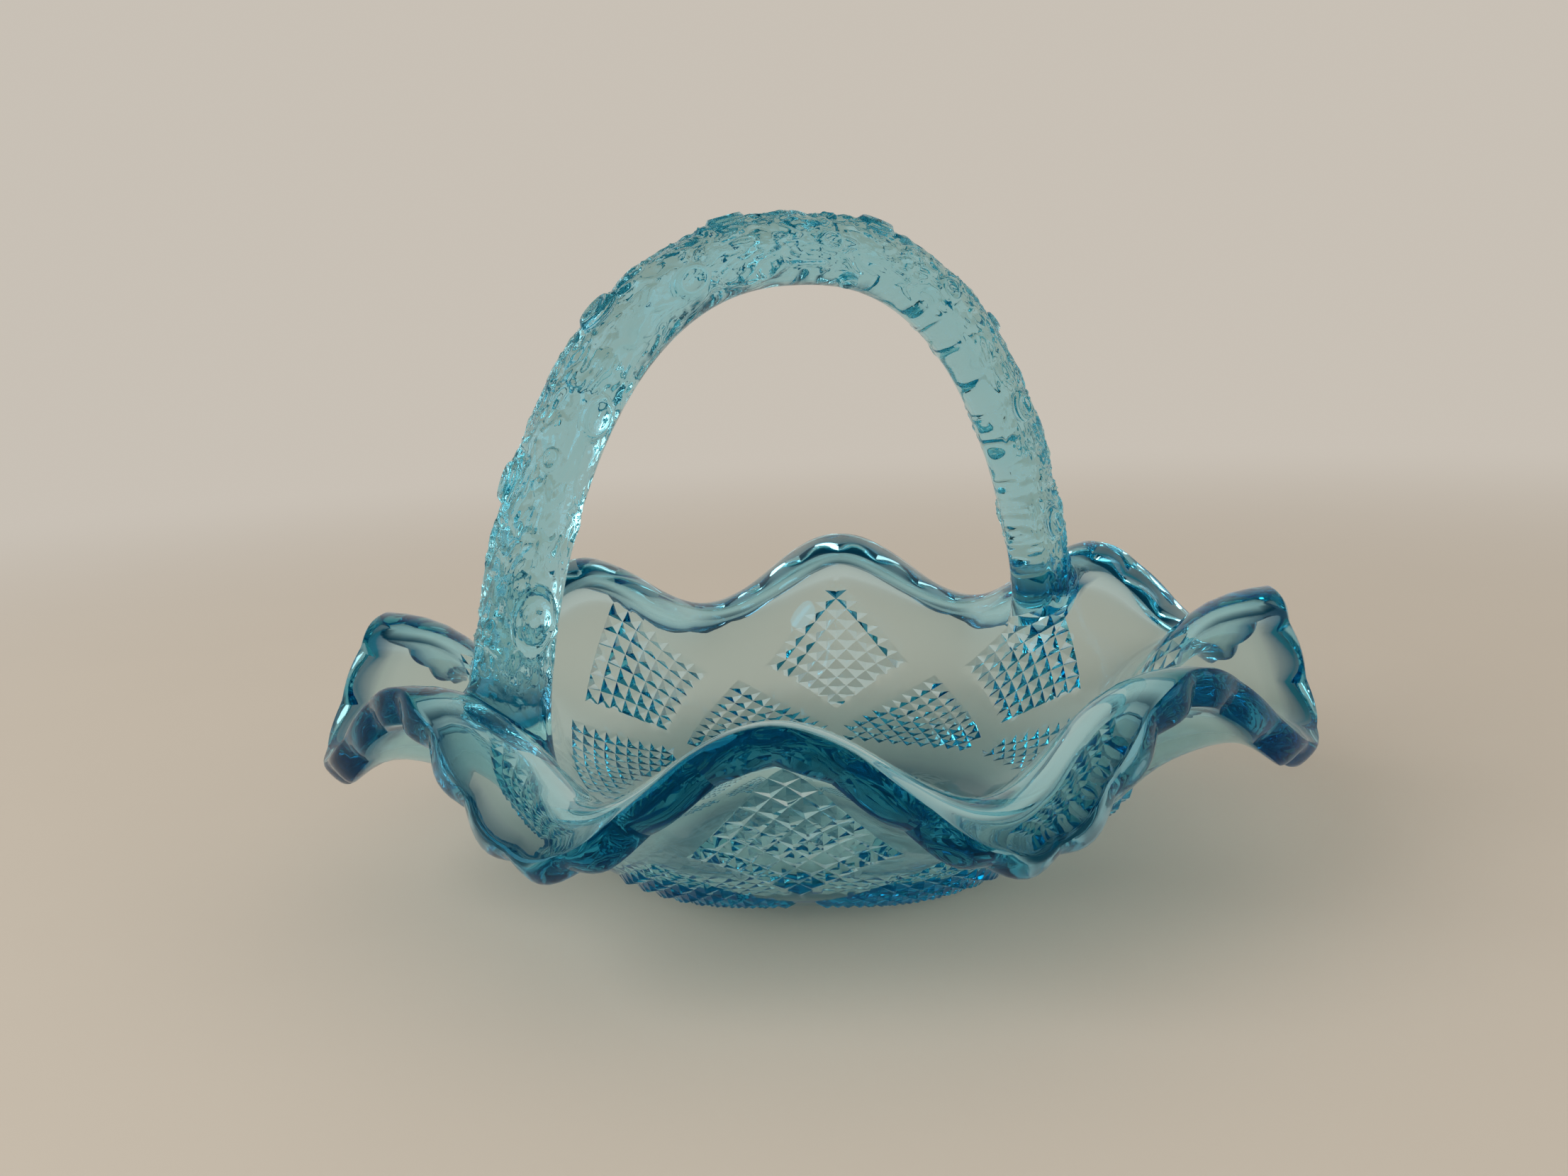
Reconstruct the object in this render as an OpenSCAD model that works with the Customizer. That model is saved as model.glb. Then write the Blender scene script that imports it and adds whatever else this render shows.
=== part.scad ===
// Pressed glass basket: a shallow bowl with a folded, scalloped rim, lozenges of
// diamond points on its outside, and a knotted bark handle fused to two of the folds.
// The handle's span lies along X, and the foot stands on Z = 0.

/* [Bowl] */
// Diameter of the flat foot
foot_d = 76; // [60:1:90]
// Diameter over the middle of the rim at the raised folds
fold_d = 200; // [180:1:220]
// Height of the middle of the rim at the raised folds
fold_h = 51.7; // [46:0.1:58]
// Diameter over the middle of the rim where it droops between the folds
droop_d = 209; // [190:1:225]
// Height of the middle of the rim where it droops
droop_h = 29.8; // [26:0.1:38]
// Number of folds round the rim, with the handle on two opposite ones
folds = 8; // [6:2:10]
// Thickness of the floor
floor_t = 6; // [4:0.5:8]
// Thickness of the wall
wall_t = 5.4; // [4:0.2:7]
// Thickness of the rim
rim_t = 7; // [5:0.2:8]

/* [Scalloped edge] */
// Scallops from one fold to the next
scallops = 7; // [4:1:9]
// Depth of the notch between two scallops
notch_depth = 2.2; // [0.4:0.2:3]
// Share of that depth which the notch keeps at the rim's inner corner
inner_notch = 0.35; // [0:0.05:1]
// Width of the rounding along both corners of the edge
edge_round = 1.6; // [0.6:0.2:2.2]

/* [Diamond points] */
// Diamond points along each side of a lozenge
lozenge_points = 7; // [4:1:8]
// Height of a diamond point above the bottom of its grooves
point_h = 1.4; // [0.6:0.1:2]
// Depth of the grooves below the plain wall
groove_depth = 0.5; // [0.2:0.1:1]
// Rows of diamond points carried on below the lozenges
skirt_rows = 3; // [2:1:4]

/* [Handle] */
// Distance between the middles of the legs at their widest
handle_span = 158; // [140:1:170]
// Height of the middle of the handle at the top of its arch
handle_h = 130.5; // [110:0.5:160]
// Height at which the arch would be at its widest
spring_h = 5; // [0:1:20]
// Squareness of the arch, where 2 is an ellipse
squareness = 2.32; // [2:0.02:2.8]
// Thickness of the handle
handle_d = 14.6; // [11:0.2:18]
// Widening of each leg where it is fused to the bowl
foot_flare = 2; // [0.5:0.1:3]
// Height of the bark's ridges
bark_h = 0.5; // [0.2:0.1:1]
// Diameter of a knot in the bark
knot_d = 7.6; // [5:0.2:9]
// Height of a knot above the bark
knot_h = 1.5; // [0.8:0.1:2.4]

/* [Hidden] */

// Knots as [place along the arch from the -X leg, direction round the handle], where
// the arch runs from 0 to 180 and 0 round the handle faces out of the arch
knots = [
    [24, -80], [37, 14], [47, -88], [54, 120], [58, 2], [69, -78],
    [81, 5], [100, -25], [116, -84], [121, 100], [138, -90], [156, -92]
];

// The wall's middle surface, from the foot to the rim, as fractions of the way out and up
fold_profile = [
    [0, 0], [0.172, 0.103], [0.356, 0.198], [0.457, 0.396],
    [0.559, 0.617], [0.648, 0.831], [0.806, 0.98], [1, 1]
];
droop_profile = [
    [0, 0], [0.155, 0.161], [0.328, 0.292], [0.424, 0.606],
    [0.539, 0.915], [0.682, 1.115], [0.862, 1.268], [1, 1]
];
rim_start = 0.76; // where the wall starts to thicken into the rim

// Lattice of the diamond points: one column and one row are half a point
half_lattice = lozenge_points + 3; // columns from a fold to the next droop
columns = 2 * folds * half_lattice;
top_row = 2 * lozenge_points;
low_row = -2 * skirt_rows;
gable_row = lozenge_points - 1; // tip of the panel that stands between two lozenges
tip_v = 0.296; // place of the lozenge's lower tip up the wall
row_step = 0.02676;
row_growth = 0.000405;

// Rings of the rest of the wall, as places up the wall
low_v = [0, 0.09];
upper_v = [0.81, 0.87, 0.93];
inner_v = [0.94, 0.88, 0.82, 0.75, 0.66, 0.56];
floor_v = [0.45, 0.32, 0.16, 0];

// Facets round the bowl and the handle
coarse = folds * half_lattice;
medium = folds * 12;
fine = folds * scallops * 4;
handle_sides = 12;
handle_rings = 46;
knot_sides = 9;

flare_fade = 5; // height in which the widening of a leg fades to a third
knot_seat = 1.5; // depth of a knot's seat in the handle
knot_top = 0.66; // diameter of a knot's top, as a part of its own

function blend(a, b, f) = a * (1 - f) + b * f;

// Uniform cubic spline that starts and ends at the first and last of its control points
function spline(p, v) =
    let (
        m = len(p) - 1,
        i = min(floor(v * m), m - 1),
        f = v * m - i,
        before = i > 0 ? p[i - 1] : 2 * p[0] - p[1],
        after = i < m - 1 ? p[i + 2] : 2 * p[m] - p[m - 1]
    )
    (before * pow(1 - f, 3) + p[i] * (3 * pow(f, 3) - 6 * f * f + 4)
        + p[i + 1] * (-3 * pow(f, 3) + 3 * f * f + 3 * f + 1) + after * pow(f, 3)) / 6;

// Middle of the wall under a fold and under a droop, as [radius, height]
function placed(q, d, h) =
    [blend(foot_d / 2, d / 2, q[0]), blend(floor_t / 2, h, q[1])];
function fold_line(v) = placed(spline(fold_profile, v), fold_d, fold_h);
function droop_line(v) = placed(spline(droop_profile, v), droop_d, droop_h);

function thickness(v) = v < rim_start
    ? blend(floor_t, wall_t, min(1, v / 0.3))
    : blend(wall_t, rim_t, (v - rim_start) / (1 - rim_start));

// A whole ring of the wall: v is the place up the wall, out the distance from its middle
// towards the outside, and past the distance beyond v along the wall, as lists if they vary
function ring(v, n, out, past) =
    let (
        dv = 0.01,
        lo = min(v, 1 - dv),
        a = fold_line(v),
        b = droop_line(v),
        da = (fold_line(lo + dv) - fold_line(lo)) / dv,
        db = (droop_line(lo + dv) - droop_line(lo)) / dv
    )
    [for (i = [0:n - 1])
        let (
            t = 360 * i / n,
            w = (1 + cos(folds * t)) / 2,
            turn = -folds / 2 * sin(folds * t),
            q = blend(b, a, w),
            up = blend(db, da, w),
            round = turn * (a - b),
            normal = [q[0] * up[1], round[1] * up[0] - round[0] * up[1], -q[0] * up[0]],
            unit = normal / norm(normal),
            along = [up[0], 0, up[1]] / norm(up),
            o = is_list(out) ? out[i] : out,
            s = is_list(past) ? past[i] : past,
            p = [q[0], 0, q[1]] + o * unit + s * along
        )
        [p[0] * cos(t) - p[1] * sin(t), p[0] * sin(t) + p[1] * cos(t), p[2]]
    ];

// True for the middle of each diamond point, in lozenges under the folds and in
// gabled panels under the droops
function is_point(c, k) =
    let (
        near = abs((c + half_lattice) % (2 * half_lattice) - half_lattice),
        from_droop = half_lattice - near
    )
    k > low_row && (near + abs(k - lozenge_points) < lozenge_points
        || (from_droop < gable_row - k && near > 1));

function is_middle(c, k) = (c + k - low_row) % 2 == 1;

function relief(c, k) = is_middle(c, k)
    ? (is_point(c, k) ? point_h - groove_depth : 0)
    : (is_point(c - 1 + columns, k) && is_point(c + 1, k)
        && is_point(c, k - 1) && is_point(c, k + 1) ? -groove_depth : 0);

function row_v(k) = tip_v + row_step * k + row_growth * k * k;

function relief_row(k) =
    let (v = row_v(k))
    ring(v, columns, [for (c = [0:columns - 1]) thickness(v) / 2 + relief(c, k)], 0);

// How far the edge falls short of the scallops' tips, at the given share of the notches
// and d below the edge
function scallop(n, share, d) = [for (i = [0:n - 1])
    share * notch_depth * (abs(sin(180 * folds * scallops * i / n)) - 1) - d];

// Two closed rings of vertex numbers joined by triangles, whatever their counts
function zip(a, b) =
    let (na = len(a), nb = len(b))
    concat(
        [for (i = [0:na - 1])
            [a[i], b[ceil((i + 0.5) * nb / na - 0.5) % nb], a[(i + 1) % na]]],
        [for (j = [0:nb - 1])
            [b[(j + 1) % nb], a[floor((j + 0.5) * na / nb + 0.5) % na], b[j]]]
    );

function numbers(start, n, step = 1) = [for (i = [0:n - 1]) start + i * step];
function sum_to(list, i) = i == 0 ? 0 : list[i - 1] + sum_to(list, i - 1);

module bowl() {
    foot_ring = [for (i = [0:coarse - 1])
        foot_d / 2 * [cos(360 * i / coarse), sin(360 * i / coarse), 0]];
    low_rings = [foot_ring, for (v = low_v) ring(v, coarse, thickness(v) / 2, 0)];
    rows = [for (k = [low_row:top_row]) relief_row(k)];
    corner = rim_t / 2 - edge_round;
    high_rings = concat(
        [for (v = upper_v) ring(v, medium, thickness(v) / 2, 0)],
        [ring(1, fine, rim_t / 2, scallop(fine, 1, edge_round)),
         ring(1, fine, corner, scallop(fine, 1, 0)),
         ring(1, fine, -corner, scallop(fine, inner_notch, 0)),
         ring(1, fine, -rim_t / 2, scallop(fine, inner_notch, edge_round))],
        [for (v = inner_v) ring(v, medium, -thickness(v) / 2, 0)],
        [for (v = floor_v) ring(v, coarse, -thickness(v) / 2, 0)]
    );

    low_count = [for (r = low_rings) len(r)];
    rows_start = sum_to(low_count, len(low_count));
    high_start = rows_start + len(rows) * columns;
    high_count = [for (r = high_rings) len(r)];
    last = high_start + sum_to(high_count, len(high_count));

    low_numbers = [for (i = [0:len(low_rings) - 1])
        numbers(sum_to(low_count, i), low_count[i])];
    high_numbers = [for (i = [0:len(high_rings) - 1])
        numbers(high_start + sum_to(high_count, i), high_count[i])];
    bottom_row = numbers(rows_start, coarse, 2);
    lozenge_top = numbers(high_start - columns, coarse, 2);

    lower = concat(low_numbers, [bottom_row]);
    upper = concat([lozenge_top], high_numbers);

    function at(c, k) = rows_start + (k - low_row) * columns + (c + columns) % columns;
    // Each diamond of the lattice: four faces on a point, two where it is plain
    function diamond(c, k) =
        let (w = at(c - 1, k), e = at(c + 1, k), s = at(c, k - 1), n = at(c, k + 1))
        k == low_row ? [[w, n, e]]
        : k == top_row ? [[w, e, s]]
        : is_point(c, k)
            ? [[w, at(c, k), s], [s, at(c, k), e], [e, at(c, k), n], [n, at(c, k), w]]
            : [[w, n, s], [s, n, e]];

    faces = concat(
        [for (i = [0:coarse - 1]) [i, (i + 1) % coarse, last]],
        [for (i = [0:len(lower) - 2]) each zip(lower[i], lower[i + 1])],
        [for (k = [low_row:top_row], c = [0:columns - 1]) if (is_middle(c, k))
            each diamond(c, k)],
        [for (i = [0:len(upper) - 2]) each zip(upper[i], upper[i + 1])],
        let (floor_ring = upper[len(upper) - 1])
            [for (i = [0:coarse - 1])
                [floor_ring[i], last + 1, floor_ring[(i + 1) % coarse]]]
    );
    points = concat(
        [for (r = low_rings) each r],
        [for (r = rows) each r],
        [for (r = high_rings) each r],
        [[0, 0, 0], [0, 0, floor_t]]
    );
    polyhedron(points, faces, convexity = 10);
}

// The arch: half its span is reached at u = 0 and 180, and its top is at u = 90
arch_rise = handle_h - spring_h;
function arch(u) = [
    -handle_span / 2 * sign(cos(u)) * pow(abs(cos(u)), 2 / squareness),
    0,
    spring_h + arch_rise * pow(sin(u), 2 / squareness)
];

// Each leg starts at the middle of the wall of its fold
wall_heights = [for (v = [0:0.05:1]) fold_line(v)];
leg_h = lookup(handle_span / 2, wall_heights);
leg_u = asin(pow((leg_h - spring_h) / arch_rise, squareness / 2));

function arch_out(u) =
    let (d = arch(min(u + 0.5, 179.9)) - arch(max(u - 0.5, 0.1)))
    [-d[2], 0, d[0]] / norm(d);

function bark(u, a) = bark_h * (
    sin(4 * a + 70 * sin(9 * u)) + 0.7 * sin(5 * a - 16 * u) * cos(2 * a + 13 * u));

function leg_radius(u) = handle_d / 2
    + foot_flare * exp(-(arch(u)[2] - leg_h) / flare_fade);

function on_handle(u, a, r) =
    arch(u) + r * (cos(a) * arch_out(u) + sin(a) * [0, 1, 0]);

module handle() {
    points = concat(
        [for (i = [0:handle_rings], j = [0:handle_sides - 1])
            let (u = blend(leg_u, 180 - leg_u, i / handle_rings), a = -360 * j / handle_sides)
            on_handle(u, a, leg_radius(u) + bark(u, a))],
        [arch(leg_u), arch(180 - leg_u)]
    );
    end = (handle_rings + 1) * handle_sides;
    rings = [for (i = [0:handle_rings]) numbers(i * handle_sides, handle_sides)];
    faces = concat(
        [for (j = [0:handle_sides - 1]) [rings[0][j], rings[0][(j + 1) % handle_sides], end]],
        [for (i = [0:handle_rings - 1]) each zip(rings[i], rings[i + 1])],
        let (r = rings[handle_rings])
            [for (j = [0:handle_sides - 1]) [r[j], end + 1, r[(j + 1) % handle_sides]]]
    );
    polyhedron(points, faces, convexity = 6);
}

// A knot is a low stub with a rounded shoulder, set square to the handle
module knot(u, a) {
    seat = on_handle(u, a, handle_d / 2 - knot_seat);
    out = on_handle(u, a, 1) - arch(u);
    translate(seat)
        rotate([0, acos(out[2]), atan2(out[1], out[0])])
            hull() {
                cylinder(d = knot_d, h = knot_seat + knot_h / 2, $fn = knot_sides);
                cylinder(d = knot_d * knot_top, h = knot_seat + knot_h, $fn = knot_sides);
            }
}

module basket() {
    color([0.42, 0.72, 0.8, 0.6]) {
        bowl();
        handle();
        for (k = knots) knot(k[0], k[1]);
    }
}

basket();
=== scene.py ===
# Pressed glass basket: a folded bowl with diamond points outside and a bark handle.
# The sizes of the wall, the bowl, the points, the handle and the knots are in millimetres. Those
# of the glass's waves and pits, the studio and the view are in metres, as the scene is.
import math

import bpy
from mathutils import Matrix, Vector
from mathutils.kdtree import KDTree


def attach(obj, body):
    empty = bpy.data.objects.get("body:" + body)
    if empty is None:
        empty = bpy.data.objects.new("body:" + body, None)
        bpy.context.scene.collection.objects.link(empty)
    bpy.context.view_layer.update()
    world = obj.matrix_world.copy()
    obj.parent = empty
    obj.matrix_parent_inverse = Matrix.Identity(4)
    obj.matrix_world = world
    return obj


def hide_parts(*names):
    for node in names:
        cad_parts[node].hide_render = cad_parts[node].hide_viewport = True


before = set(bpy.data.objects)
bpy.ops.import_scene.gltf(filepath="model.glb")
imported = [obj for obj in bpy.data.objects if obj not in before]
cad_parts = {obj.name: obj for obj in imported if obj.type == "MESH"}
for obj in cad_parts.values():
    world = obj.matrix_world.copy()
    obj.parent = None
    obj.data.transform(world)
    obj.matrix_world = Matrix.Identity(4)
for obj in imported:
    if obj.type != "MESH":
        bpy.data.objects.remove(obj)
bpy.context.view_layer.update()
mm = 0.001
weldReach = 0.00001  # points that are closer than this become one
print("frame loaded:", sorted(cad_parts))


# node trees written as sums

class Field:  # a socket that takes part in sums like a plain number
    def __init__(self, socket):
        self.socket = socket

    def __add__(self, other):
        return calc("ADD", self, other)

    def __sub__(self, other):
        return calc("SUBTRACT", self, other)

    def __rsub__(self, other):
        return calc("SUBTRACT", other, self)

    def __mul__(self, other):
        return calc("MULTIPLY", self, other)

    def __truediv__(self, other):
        return calc("DIVIDE", self, other)

    def __rtruediv__(self, other):
        return calc("DIVIDE", other, self)

    def __pow__(self, other):
        return calc("POWER", self, other)

    def __neg__(self):
        return self * -1.0

    __radd__ = __add__
    __rmul__ = __mul__


def feed(value, socket):
    if isinstance(value, Field):
        socket.id_data.links.new(value.socket, socket)
    else:
        socket.default_value = value


def addNode(tree, kind, inputs=None, **settings):
    node = tree.nodes.new(kind)
    for name, value in settings.items():
        setattr(node, name, value)
    for key, value in (inputs or {}).items():
        feed(value, node.inputs[key])
    return node


def out(node, key=0):
    return Field(node.outputs[key])


def calc(operation, *values):
    fields = [v for v in values if isinstance(v, Field)]
    tree = fields[0].socket.id_data
    vectors = [f for f in fields if f.socket.type == "VECTOR"]
    if not vectors:
        return out(addNode(tree, "ShaderNodeMath", dict(enumerate(values)), operation=operation))
    if operation == "MULTIPLY" and len(vectors) == 1:  # a vector times a number
        number = values[1] if values[0] is vectors[0] else values[0]
        return out(addNode(tree, "ShaderNodeVectorMath", {0: vectors[0], 3: number},
                           operation="SCALE"))
    answer = 1 if operation == "LENGTH" else 0
    return out(addNode(tree, "ShaderNodeVectorMath", dict(enumerate(values)),
                       operation=operation), answer)


def split(vector):
    node = addNode(vector.socket.id_data, "ShaderNodeSeparateXYZ", {0: vector})
    return out(node, 0), out(node, 1), out(node, 2)


def join(tree, x, y, z):
    return out(addNode(tree, "ShaderNodeCombineXYZ", {0: x, 1: y, 2: z}))


def smoothStep(value, low, high):
    tree = value.socket.id_data
    return out(addNode(tree, "ShaderNodeMapRange", {0: value, 1: low, 2: high},
                       interpolation_type="SMOOTHSTEP"))


def mix(a, b, share):
    return (1 - share) * a + share * b


def signedPower(value, power):
    return calc("SIGN", value) * calc("POWER", calc("ABSOLUTE", value), power)


socketKinds = {"line": "NodeSocketGeometry", "mesh": "NodeSocketGeometry",
               "object": "NodeSocketObject", "number": "NodeSocketFloat",
               "vector": "NodeSocketVector", "material": "NodeSocketMaterial"}


def newTree(name, inputs, outputs):
    tree = bpy.data.node_groups.new(name, "GeometryNodeTree")
    for socketName, kind in inputs.items():
        tree.interface.new_socket(name=socketName, in_out="INPUT", socket_type=socketKinds[kind])
    for socketName, kind in outputs.items():
        tree.interface.new_socket(name=socketName, in_out="OUTPUT", socket_type=socketKinds[kind])
    given = {s.name: Field(s) for s in tree.nodes.new("NodeGroupInput").outputs if s.name}
    return tree, given, tree.nodes.new("NodeGroupOutput").inputs


def useTree(tree, group, inputs):
    node = tree.nodes.new("GeometryNodeGroup")
    node.node_tree = group
    for key, value in inputs.items():
        feed(value, node.inputs[key])
    return node


def pointsObject(name, points):
    mesh = bpy.data.meshes.new(name)
    mesh.from_pydata([Vector(p) for p in points], [], [])
    thing = bpy.data.objects.new(name, mesh)
    bpy.context.scene.collection.objects.link(thing)
    return thing


def keepResult(piece):
    # what the piece's modifiers make becomes its plain mesh
    bpy.context.view_layer.update()
    evaluated = piece.evaluated_get(bpy.context.evaluated_depsgraph_get())
    mesh = bpy.data.meshes.new_from_object(evaluated)
    piece.modifiers.clear()
    piece.data = mesh


def makePiece(name, tree, values):
    # runs the tree on an empty mesh and keeps its result as a plain mesh
    piece = bpy.data.objects.new(name, bpy.data.meshes.new(name))
    bpy.context.scene.collection.objects.link(piece)
    modifier = piece.modifiers.new(tree.name, "NODES")
    modifier.node_group = tree
    for item in tree.interface.items_tree:
        if item.in_out == "INPUT" and item.name in values:
            modifier[item.identifier] = values[item.name]
    keepResult(piece)
    print(name, "made:", len(piece.data.vertices), "vertices,", len(piece.data.polygons), "faces")
    return piece


# glass

glass = {
    "tint": (0.03, 0.77, 0.87),  # what is left of the light inside, by depth
    "density": 44.0,
    "thinColour": (0.88, 0.96, 0.99),  # and where it is 1: partly thick glass's deeper blue, partly painted shade
    "deepAndShadedColour": (0.003, 0.105, 0.235),  # and where it is 1
    "shine": (0.02, 0.55, 0.85),  # gloss that is seen straight on
    "ior": 1.5,
    "waveScale": 70.0,  # the slow waviness of a fire-polished face, over all of it
    "waveHeight": 0.00012,
    "dullest": 0.025,  # roughness on the tops of the waves
    "pitScale": 620.0,  # fine pits in the bark, on the handle only
    "pitHeight": 0.00006,
}


def makeGlass():
    material = bpy.data.materials.new("aquaPressedGlass")
    material.use_nodes = True
    tree = material.node_tree
    tree.nodes.clear()
    place = out(addNode(tree, "ShaderNodeTexCoord"), "Object")
    bark = out(addNode(tree, "ShaderNodeAttribute", attribute_name="bark"), "Fac")
    tone = out(addNode(tree, "ShaderNodeAttribute", attribute_name="tone"), "Fac")
    wave = out(addNode(tree, "ShaderNodeTexNoise", {
        "Vector": place, "Scale": glass["waveScale"], "Detail": 1.0}), "Fac")
    waves = addNode(tree, "ShaderNodeBump", {
        "Height": wave, "Strength": 1.0, "Distance": glass["waveHeight"]})
    pit = out(addNode(tree, "ShaderNodeTexNoise", {
        "Vector": place, "Scale": glass["pitScale"], "Detail": 1.0, "Distortion": 0.8}), "Fac")
    pits = addNode(tree, "ShaderNodeBump", {
        "Height": pit * bark, "Strength": 1.0, "Distance": glass["pitHeight"],
        "Normal": out(waves)})
    # the tone, a deeper blue that is partly thick glass's colour and partly painted shade, varies a
    # little with the waves, from three quarters of itself to five quarters
    colour = addNode(tree, "ShaderNodeMix", {
        0: tone * (wave * 0.5 + 0.75), 6: (*glass["thinColour"], 1.0),
        7: (*glass["deepAndShadedColour"], 1.0)}, data_type="RGBA")
    surface = addNode(tree, "ShaderNodeBsdfPrincipled", {
        "Base Color": out(colour, 2), "Transmission Weight": 1.0, "IOR": glass["ior"],
        "Roughness": smoothStep(wave, 0.45, 0.75) * glass["dullest"],
        "Specular Tint": (*glass["shine"], 1.0), "Normal": out(pits)})
    depth = addNode(tree, "ShaderNodeVolumeAbsorption", {
        "Color": (*glass["tint"], 1.0), "Density": glass["density"]})
    addNode(tree, "ShaderNodeOutputMaterial", {"Surface": out(surface), "Volume": out(depth)})
    return material


aquaGlass = makeGlass()

# the wall, as a rule that every piece on it shares

wall = {
    "footRadius": 38.0,
    "foldReach": 100.0,
    "foldHeight": 51.7,
    "droopReach": 104.5,
    "droopHeight": 29.8,
    "folds": 8,
    "floorThickness": 6.0,
    "wallThickness": 5.4,
    "rimThickness": 7.0,
    "wallFrom": 0.3,  # how far up the wall has its own thickness, up to where the rim starts
    "rimFrom": 0.72,
    # from the foot to the rim, as shares of the way out and of the way up
    "foldLine": [(0, 0), (0.172, 0.103), (0.356, 0.198), (0.457, 0.396),
                 (0.559, 0.617), (0.648, 0.831), (0.806, 0.98), (1, 1)],
    "droopLine": [(0, 0), (0.155, 0.161), (0.328, 0.292), (0.424, 0.606),
                  (0.539, 0.915), (0.682, 1.115), (0.862, 1.268), (1, 1)],
}


def lineObject(name, line, reach, height):
    # the control points of a wall line, with one more past each end
    low = wall["floorThickness"] / 2
    points = [Vector((wall["footRadius"] + (reach - wall["footRadius"]) * p[0], 0,
                      low + (height - low) * p[1])) * mm for p in line]
    points.insert(0, points[0] * 2 - points[1])
    points.append(points[-1] * 2 - points[-2])
    return pointsObject(name, points)


foldLine = lineObject("foldLine", wall["foldLine"], wall["foldReach"], wall["foldHeight"])
droopLine = lineObject("droopLine", wall["droopLine"], wall["droopReach"], wall["droopHeight"])


def makeLineAt():
    # a smooth line through a few control points: where it is at Up, and how it slopes
    tree, given, result = newTree("lineAt", {"Line": "line", "Up": "number"},
                                  {"Point": "vector", "Slope": "vector"})
    size = addNode(tree, "GeometryNodeAttributeDomainSize", {"Geometry": given["Line"]})
    spans = out(size, "Point Count") - 3
    along = given["Up"] * spans
    first = calc("MINIMUM", calc("FLOOR", along), spans - 1)
    t = along - first
    place = out(addNode(tree, "GeometryNodeInputPosition"))

    def control(i):
        return out(addNode(tree, "GeometryNodeSampleIndex", {
            "Geometry": given["Line"], "Value": place, "Index": first + i},
            data_type="FLOAT_VECTOR"))

    a, b, c, d = control(0), control(1), control(2), control(3)
    rest = 1 - t
    square = t * t
    cube = square * t
    point = (a * (rest * rest * rest) + b * (cube * 3 - square * 6 + 4)
             + c * (square * 3 - cube * 3 + t * 3 + 1) + d * cube) * (1 / 6)
    slope = (b * (square * 3 - t * 4) - a * (rest * rest)
             + c * (t * 2 - square * 3 + 1) + d * square) * 0.5
    feed(point, result["Point"])
    feed(slope * spans, result["Slope"])
    return tree


def makeWallAt():
    # a point of the wall: Turn round it, Up it, Out from its middle and Past that along it
    tree, given, result = newTree(
        "wallAt", {"Fold line": "line", "Droop line": "line", "Folds": "number", "Turn": "number",
                   "Up": "number", "Out": "number", "Past": "number"},
        {"Point": "vector", "Normal": "vector"})
    fold = useTree(tree, lineAt, {"Line": given["Fold line"], "Up": given["Up"]})
    droop = useTree(tree, lineAt, {"Line": given["Droop line"], "Up": given["Up"]})
    phase = given["Folds"] * given["Turn"]
    share = calc("COSINE", phase) * 0.5 + 0.5
    swing = given["Folds"] * calc("SINE", phase) * -0.5
    radius, unused, height = split(mix(out(droop, "Point"), out(fold, "Point"), share))
    slope = mix(out(droop, "Slope"), out(fold, "Slope"), share)
    slopeOut, unused, slopeUp = split(slope)
    acrossOut, unused, acrossUp = split((out(fold, "Point") - out(droop, "Point")) * swing)
    normal = calc("NORMALIZE", join(
        tree, radius * slopeUp, acrossUp * slopeOut - acrossOut * slopeUp, -(radius * slopeOut)))
    local = (join(tree, radius, 0.0, height) + normal * given["Out"]
             + calc("NORMALIZE", slope) * given["Past"])
    for vector, name in ((local, "Point"), (normal, "Normal")):
        turned = addNode(tree, "ShaderNodeVectorRotate", {"Vector": vector, "Angle": given["Turn"]},
                         rotation_type="Z_AXIS")
        feed(out(turned), result[name])
    return tree


lineAt = makeLineAt()
wallAt = makeWallAt()


def shapeOfWall(tree, given):
    # the wall's thickness and places on it, for the trees that work on it
    lines = {n: out(addNode(tree, "GeometryNodeObjectInfo", {"Object": given[n]}), "Geometry")
             for n in ("Fold line", "Droop line")}

    def thickness(up):
        lower = mix(given["Floor thickness"], given["Wall thickness"],
                    smoothStep(up, 0.0, wall["wallFrom"]))
        return mix(lower, given["Rim thickness"], smoothStep(up, wall["rimFrom"], 1.0))

    def at(turn, up, outward, past=0.0):
        return useTree(tree, wallAt, {**lines, "Folds": given["Folds"], "Turn": turn, "Up": up,
                                      "Out": outward, "Past": past})

    return thickness, at


wallInputs = {"Fold line": "object", "Droop line": "object", "Folds": "number",
              "Floor thickness": "number", "Wall thickness": "number", "Rim thickness": "number"}
wallValues = {"Fold line": foldLine, "Droop line": droopLine, "Folds": float(wall["folds"]),
              "Floor thickness": wall["floorThickness"] * mm,
              "Wall thickness": wall["wallThickness"] * mm,
              "Rim thickness": wall["rimThickness"] * mm}


def finishTree(tree, meshes, given, result, merge=0.0):
    joined = addNode(tree, "GeometryNodeJoinGeometry")
    for mesh in meshes:
        feed(mesh, joined.inputs[0])
    mesh = out(joined)
    if merge:
        mesh = out(addNode(tree, "GeometryNodeMergeByDistance", {
            "Geometry": mesh, "Distance": merge}))
    mesh = out(addNode(tree, "GeometryNodeRealizeInstances", {0: mesh}))
    mesh = out(addNode(tree, "GeometryNodeSetMaterial", {
        "Geometry": mesh, "Material": given["Material"]}))
    feed(mesh, result["Mesh"])


def placeInstances(tree, points, shape, axes):
    # the shape on each point, where axes are its own X, Y and Z and its middle
    matrix = addNode(tree, "FunctionNodeCombineMatrix")
    for i, axis in enumerate(axes):
        for j, value in enumerate(split(axis)):
            feed(value, matrix.inputs[4 * i + j])
    placed = out(addNode(tree, "GeometryNodeInstanceOnPoints", {
        "Points": points, "Instance": shape}))
    return out(addNode(tree, "GeometryNodeSetInstanceTransform", {
        "Instances": placed, "Transform": out(matrix)}))


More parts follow.
